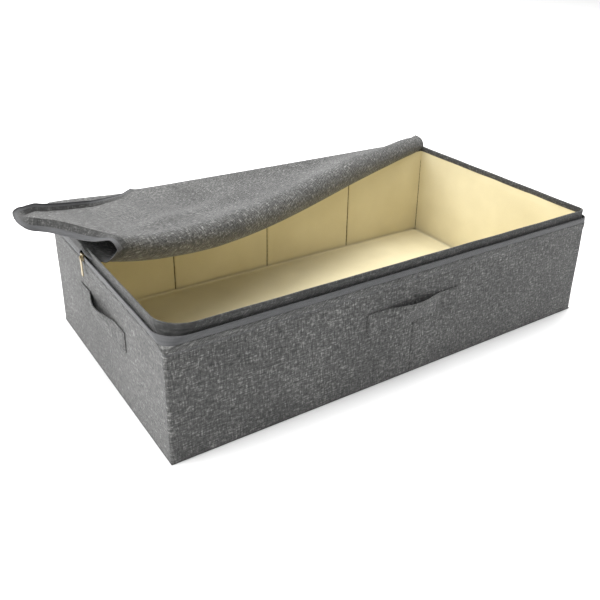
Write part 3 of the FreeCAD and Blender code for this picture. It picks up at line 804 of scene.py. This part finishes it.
def lid_point(x, y):
    """Where a point of the flat, closed lid lies now that the lid is folded back."""
    x, y = rounded(*np.broadcast_arrays(np.asarray(x, float), np.asarray(y, float)))
    u, v = crease_place(x, y)
    radius, nose, low = fold_shape(u)
    tangent = nose + radius

    # the lid in three stretches: rear layer, roll, upper layer
    turn = np.clip((tangent - v) / radius, 0, math.pi)
    beyond = np.maximum(tangent - math.pi * radius - v, 0)
    rear_part, upper_part = v > tangent, beyond > 0
    w = np.where(rear_part, v, tangent - radius * np.sin(turn) + beyond * np.interp(u, *GATHERED))

    back_v = (HALF_Y - CREASE_AT[1] - u * ALONG[1]) / ACROSS[1]
    span = np.maximum(back_v - tangent, LEAST_SPAN)
    rear_z = rear_height(x, y, v, low, np.clip((v - tangent) / span, 0, 1))
    upper_z = upper_height(u, w, low + 2 * radius, np.clip((w - tangent) / span, 0, 1))
    roll_z = low + radius * (1 - np.cos(turn))
    z = np.where(rear_part, rear_z, np.where(upper_part, upper_z, roll_z))

    # the loose left end has slid along the fold
    near_left = 1 - smooth(u, 0.0, 0.55)
    slide = 20 * MM * smooth(-v, -0.085, -0.03) + 32 * MM * smooth(turn, 0, math.pi / 2)
    u_now = u + slide * near_left - 10 * MM * smooth(beyond, 0.12, 0.22) * near_left

    px = CREASE_AT[0] + ALONG[0] * u_now + ACROSS[0] * w
    py = CREASE_AT[1] + ALONG[1] * u_now + ACROSS[1] * w
    return over_the_rim(px, py, z, upper_part)


RIM_BEND_Y, RIM_BEND, FLOOR_BEND = HALF_Y - 1 * MM, 8 * MM, 9 * MM
REST_Z = 1.6 * MM            # the cloth where it lies on the floor


def over_the_rim(px, py, z, upper_part):
    """Bend the upper layer down behind the back wall, and out again along the floor."""
    past = np.where(upper_part, np.maximum(py - RIM_BEND_Y, 0), 0)
    angle = np.clip(past / RIM_BEND, 0, math.pi / 2)
    hang = np.maximum(past - RIM_BEND * math.pi / 2, 0)
    level = z - RIM_BEND * (1 - np.cos(angle)) - hang
    y = np.where(past > 0, RIM_BEND_Y + RIM_BEND * np.sin(angle), py)
    fold_top = REST_Z + FLOOR_BEND
    under = np.maximum(fold_top - level, 0) * (past > 0)
    floor_angle = np.clip(under / FLOOR_BEND, 0, math.pi / 2)
    out = np.maximum(under - FLOOR_BEND * math.pi / 2, 0)
    ease = smooth(hang, 0.02, 0.10) * (1 - smooth(hang, 0.15, 0.195))
    sway = -2.2 * MM * (1 + np.sin(px / 0.045 + 0.8)) * ease * (under <= 0)
    y = y + sway + np.where(under > 0, FLOOR_BEND * (1 - np.cos(floor_angle)) + out, 0)
    level = np.where(under > 0, fold_top - FLOOR_BEND * np.sin(floor_angle), level)
    floor_wave = 0.8 * MM * (1 + waves(px, y, 0.09, 8)) * smooth(out, 0, 0.03)
    level = level + np.where(out > 0, floor_wave, 0)
    return np.stack([px, y, level], -1)


PARTED_Z = 100 * MM          # height at which the hanging cloth's two pieces meet


def lid_region(x, y):
    """The piece a point is in: 0 rear, 1 top, 2 over the back rim, 3 behind it below PARTED_Z."""
    u, v = crease_place(x, y)
    radius, nose, _ = fold_shape(u)
    place = lid_point(x, y)
    region = np.where(v > nose + radius - math.pi / 2 * radius, 0, 1)
    top = region == 1
    region = np.where(top & (place[..., 1] > HALF_Y - 3 * MM), 2, region)
    return np.where(top & (place[..., 1] > HALF_Y) & (place[..., 2] < PARTED_Z), 3, region)


def surface_with_normals(x, y):
    """Points of the lid, and the way out of the face that is upward on the closed lid."""
    step = 0.6 * MM
    place = lid_point(x, y)
    dx = lid_point(x + step, y) - lid_point(x - step, y)
    dy = lid_point(x, y + step) - lid_point(x, y - step)
    return place, unit(np.cross(unit(dx), unit(dy)))


LID_PIECES = ("lid_rear_cloth", "lid_top_cloth", "lid_rim_cloth", "lid_tail_cloth")
LID_NODES = (("lid_rear_panel", "lid_rear_left_band"),
             ("lid_front_panel", "lid_front_left_band", "lid_front_front_band"),
             ("lid_drop_panel", "lid_drop_front_band", "lid_drop_right_band"),
             ("lid_tail_panel", "lid_tail_front_band", "lid_tail_right_band"))
TAPE_NODES = (("lid_rear_left_tape",),
              ("lid_front_left_tape", "lid_front_front_tape"),
              ("lid_drop_front_tape", "lid_drop_right_tape"),
              ("lid_tail_front_tape", "lid_tail_right_tape"))


def bind_lid(item, region):
    """Each piece of the cloth has its transform baked into its mesh; every region is handled alike."""
    if region == 0:
        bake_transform(item)
    elif region == 1:
        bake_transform(item)
    elif region == 2:
        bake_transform(item)
    else:
        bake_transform(item)


CLOTH_THICK = 1.2 * MM


def closed_sheet(points, normals, uvs, faces, thick):
    """Upper and lower faces of a thin sheet, joined all round its edge."""
    used = sorted({index for face in faces for index in face})
    renumber = {old: new for new, old in enumerate(used)}
    faces = [tuple(renumber[i] for i in face) for face in faces]
    count = len(used)
    shell = list(faces) + [tuple(i + count for i in reversed(face)) for face in faces]
    sides = {(a, b) for face in faces for a, b in zip(face, face[1:] + face[:1])}
    shell += [(b, a, a + count, b + count) for a, b in sides if (b, a) not in sides]
    points, normals, uvs = points[used], normals[used], uvs[used]
    return (np.concatenate([points + normals * thick / 2, points - normals * thick / 2]),
            np.concatenate([normals, -normals]), np.concatenate([uvs, uvs]), shell)


def split_by_region(naming, points, normals, faces, uvs, face_region, thick, material):
    """One thin closed sheet per region of a grid, with shading that is even across the cuts."""
    made = {}
    for region, piece in enumerate(LID_PIECES):
        picked = [face for face, where in zip(faces, face_region) if where == region]
        if picked:
            sheet_points, turned, sheet_uvs, shell = closed_sheet(points, normals, uvs, picked, thick)
            made[region] = make_object(naming % piece, sheet_points, shell, sheet_uvs, material,
                                       turned)
            bind_lid(made[region], region)
    return made


STOPS_SHORT = 12 * MM        # the strip ends this far before the back right corner
LEFT_EDGE = LID_BACK - LID_FRONT
FRONT_EDGE = 2 * LID_X
RIGHT_EDGE = LEFT_EDGE - STOPS_SHORT
STRIP_LEAN = (          # distance along the strip in metres, lean in degrees
    (0.0, 4), (0.155, 4), (0.190, 30), (0.215, 70), (0.235, 88), (0.262, 92), (0.300, 125),
    (0.340, 158), (0.420, 166), (LEFT_EDGE - 0.020, 140), (LEFT_EDGE - 0.006, 88),
    (LEFT_EDGE + 0.006, 42), (LEFT_EDGE + 0.024, 24), (LEFT_EDGE + 0.120, 22),
    (LEFT_EDGE + 0.180, 60), (LEFT_EDGE + 0.225, 98), (LEFT_EDGE + 0.275, 98),
    (LEFT_EDGE + 0.320, 60), (LEFT_EDGE + FRONT_EDGE + 0.300, 60), (2.0, 120))
STRIP_SHOWN = (         # the same distance, share of the strip's width that isn't tucked under
    (0.0, 1.0), (0.156, 1.0), (0.168, 0.22), (0.222, 0.22), (0.240, 1.0), (LEFT_EDGE - 0.010, 1.0),
    (LEFT_EDGE + 0.014, 0.66), (LEFT_EDGE + 0.280, 0.50), (LEFT_EDGE + 0.360, 1.0),
    (LEFT_EDGE + FRONT_EDGE + 0.330, 1.0), (LEFT_EDGE + FRONT_EDGE + 0.380, 0.08), (2.0, 0.08))


def edge_strip():
    """The strip sewn round the lid's free edges, from the back left to the back right corner.

    It gives each station's place, the way the strip points, its distance along, and its flat x, y.
    A lean of 0 is square to the lid on its under side, 90 carries the lid on outward, and
    180 is square to its upper side.
    """
    corners = (0, LEFT_EDGE, LEFT_EDGE + FRONT_EDGE, LEFT_EDGE + FRONT_EDGE + RIGHT_EDGE)
    even = np.linspace(0, corners[3], 480)
    close = [corner + 1.5 * MM * step for corner in corners[1:3] for step in range(-24, 25)]
    distance = np.unique(np.concatenate([even, close]))
    x = np.interp(distance, corners, (-LID_X, -LID_X, LID_X, LID_X))
    y = np.interp(distance, corners, (LID_BACK, LID_FRONT, LID_FRONT, LID_BACK - STOPS_SHORT))
    place, up = surface_with_normals(x, y)
    out = np.cross(unit(np.gradient(place, axis=0)), up)
    lean = np.radians(np.interp(distance, *zip(*STRIP_LEAN)))[:, None]
    way = unit(out * np.sin(lean) - up * np.cos(lean))
    shown = np.interp(distance, *zip(*STRIP_SHOWN))[:, None]
    return place, way * shown, distance, x, y


def make_lid():
    """One cloth over the whole lid in four pieces, with its band, zip tape and coil."""
    columns, rows = 203, 115
    xs = np.linspace(-LID_X, LID_X, columns)
    ys = np.linspace(LID_FRONT, LID_BACK, rows)
    gy, gx = np.meshgrid(ys, xs, indexing="ij")
    place, up = surface_with_normals(gx, gy)
    faces = grid_faces(rows, columns)
    flat = np.stack([gx, gy], -1).reshape(-1, 2)
    centres = np.array([flat[list(face)].mean(axis=0) for face in faces])
    face_region = lid_region(centres[:, 0], centres[:, 1])
    cloths = split_by_region("%s", place.reshape(-1, 3), up.reshape(-1, 3), faces, flat, face_region,
                             CLOTH_THICK, CLOTH)
    bands = make_lid_bands()
    for region, item in cloths.items():
        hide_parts(*LID_NODES[region])


LIES_AT = 1.2 * MM           # height of the strip's middle where it lies on the floor
COIL_OUT, COIL_RADIUS = 18.4 * MM, 0.9 * MM
STRIP_LAYERS = (             # kind, millimetres out along the strip, thickness, material, slot
    # the band takes the darkened cloth copy: painted shade on its inner face
    ("band", (-0.3, 2.5, 5.5, 8.5, 10.5), 1.6 * MM, PAINTED_SHADE_CLOTH, "outer_fabric"),
    ("tape", (9.6, 11.5, 14, 16.5, 18.0), 0.8 * MM, TAPE, "zip_tape"))


def make_lid_bands():
    """The strip of cloth round the free edges, the zip tape sewn to it, and its coil."""
    bands = {region: [] for region in range(len(LID_PIECES))}
    place, way, distance, x, y = edge_strip()
    region = lid_region((x[1:] + x[:-1]) / 2, (y[1:] + y[:-1]) / 2)
    side = unit(np.cross(unit(np.gradient(place, axis=0)), way))
    ripple = 0.8 * MM * np.sin(distance / 0.034)
    for kind, spans, thick, material, slot in STRIP_LAYERS:
        out = np.array(spans) * MM
        curl = smooth(out, 0, 18 * MM)
        grid = (place[None] + way[None] * out[:, None, None]
                + side[None] * (ripple[None, :] * curl[:, None])[..., None])
        grid[..., 2] = np.maximum(grid[..., 2], LIES_AT)
        normals = np.broadcast_to(side[None], grid.shape).reshape(-1, 3)
        uvs = np.stack(np.broadcast_arrays(distance[None, :], out[:, None]), -1).reshape(-1, 2)
        made = split_by_region("%s_" + kind, grid.reshape(-1, 3), normals,
                               grid_faces(len(out), len(place)), uvs, np.tile(region, len(out) - 1),
                               thick, material)
        for where, item in made.items():
            bands[where].append(item)
            if kind == "tape":
                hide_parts(*TAPE_NODES[where])

    edge = place + way * COIL_OUT + side * (ripple[:, None] + 0.6 * MM)
    edge[:, 2] = np.maximum(edge[:, 2], LIES_AT + 0.4 * MM)
    for where, piece in enumerate(LID_PIECES):
        picked = np.where(region == where)[0]
        for number, run in enumerate(np.split(picked, np.where(np.diff(picked) > 1)[0] + 1)):
            if len(run) > 3:
                coil = coil_along("%s_coil_%d" % (piece, number), edge[run[0]:run[-1] + 2], COIL_RADIUS)
                bind_lid(coil, where)
                bands[where].append(coil)
    return bands


# ---------------------------------------------------------------- studio
FLOOR_REACH, FLOOR_Z = 12.0, -0.8 * MM
LIGHTS = (                   # name, place, what it faces, width, power
    ("key", (-2.7, -0.1, 1.3), (0, 0, 0.1), 2.2, 82),
    ("side", (2.0, 0.3, 2.8), (0, 0, 0.1), 2.0, 66),
    ("top", (0.2, 2.0, 6.5), (0, 0.6, 0), 6.0, 640))
WORLD_STRENGTH = 0.62


def make_floor():
    corners = [(x * FLOOR_REACH, y * FLOOR_REACH, FLOOR_Z) for x, y in ((-1, -1), (1, -1), (1, 1), (-1, 1))]
    mesh = bpy.data.meshes.new("floor")
    mesh.from_pydata(corners, [], [(0, 1, 2, 3)])
    mesh.materials.append(plain_surface("floor_paint", (0.86, 0.86, 0.86), (0.88, 0.88, 0.88),
                                        0.8, 0.0, 2.0))
    floor = bpy.data.objects.new("floor", mesh)
    bpy.context.scene.collection.objects.link(floor)


def soft_light(name, place, target, size, power):
    data = bpy.data.lights.new(name, "AREA")
    data.shape, data.size, data.energy = "SQUARE", size, power
    item = bpy.data.objects.new(name, data)
    item.location = place
    item.rotation_euler = (Vector(target) - Vector(place)).to_track_quat("-Z", "Y").to_euler()
    bpy.context.scene.collection.objects.link(item)


def make_studio():
    """A pale floor, three soft lights and an even white world."""
    make_floor()
    for light in LIGHTS:
        soft_light(*light)
    world = bpy.data.worlds.new("studio")
    world.use_nodes = True
    background = world.node_tree.nodes["Background"]
    background.inputs["Color"].default_value = (1, 1, 1, 1)
    background.inputs["Strength"].default_value = WORLD_STRENGTH
    bpy.context.scene.world = world
    bpy.context.scene.view_settings.view_transform = "Standard"


CAMERA_AT = (-0.6761, -0.9533, 0.6574)
AZIMUTH, ELEVATION, ROLL = (math.radians(angle) for angle in (-37.53, 24.54, 2.88))
SENSOR, LENS = 36.0, 44.04
SHIFT_X, SHIFT_Y = -0.0933, -0.080


def make_camera():
    """Low three-quarter view from the front left, with the box a little off centre."""
    back = Vector((math.sin(AZIMUTH) * math.cos(ELEVATION), -math.cos(AZIMUTH) * math.cos(ELEVATION),
                   math.sin(ELEVATION)))
    level = (-back).cross(Vector((0, 0, 1))).normalized()
    upright = level.cross(-back)
    right = level * math.cos(ROLL) + upright * math.sin(ROLL)
    up = upright * math.cos(ROLL) - level * math.sin(ROLL)
    data = bpy.data.cameras.new("camera")
    data.sensor_width, data.lens = SENSOR, LENS
    data.shift_x, data.shift_y = SHIFT_X, SHIFT_Y
    camera = bpy.data.objects.new("camera", data)
    camera.matrix_world = Matrix([(right[k], up[k], back[k], CAMERA_AT[k]) for k in range(3)]
                                 + [(0, 0, 0, 1)])
    bpy.context.scene.collection.objects.link(camera)
    bpy.context.scene.camera = camera


paint_frame()
make_outer_shell()
make_lip()
make_lining()
make_base_board()
make_box_zip()
make_rim_stitches()
for wall in HANDLE_WALLS:
    make_handle(wall)
make_lid()
make_studio()
make_camera()
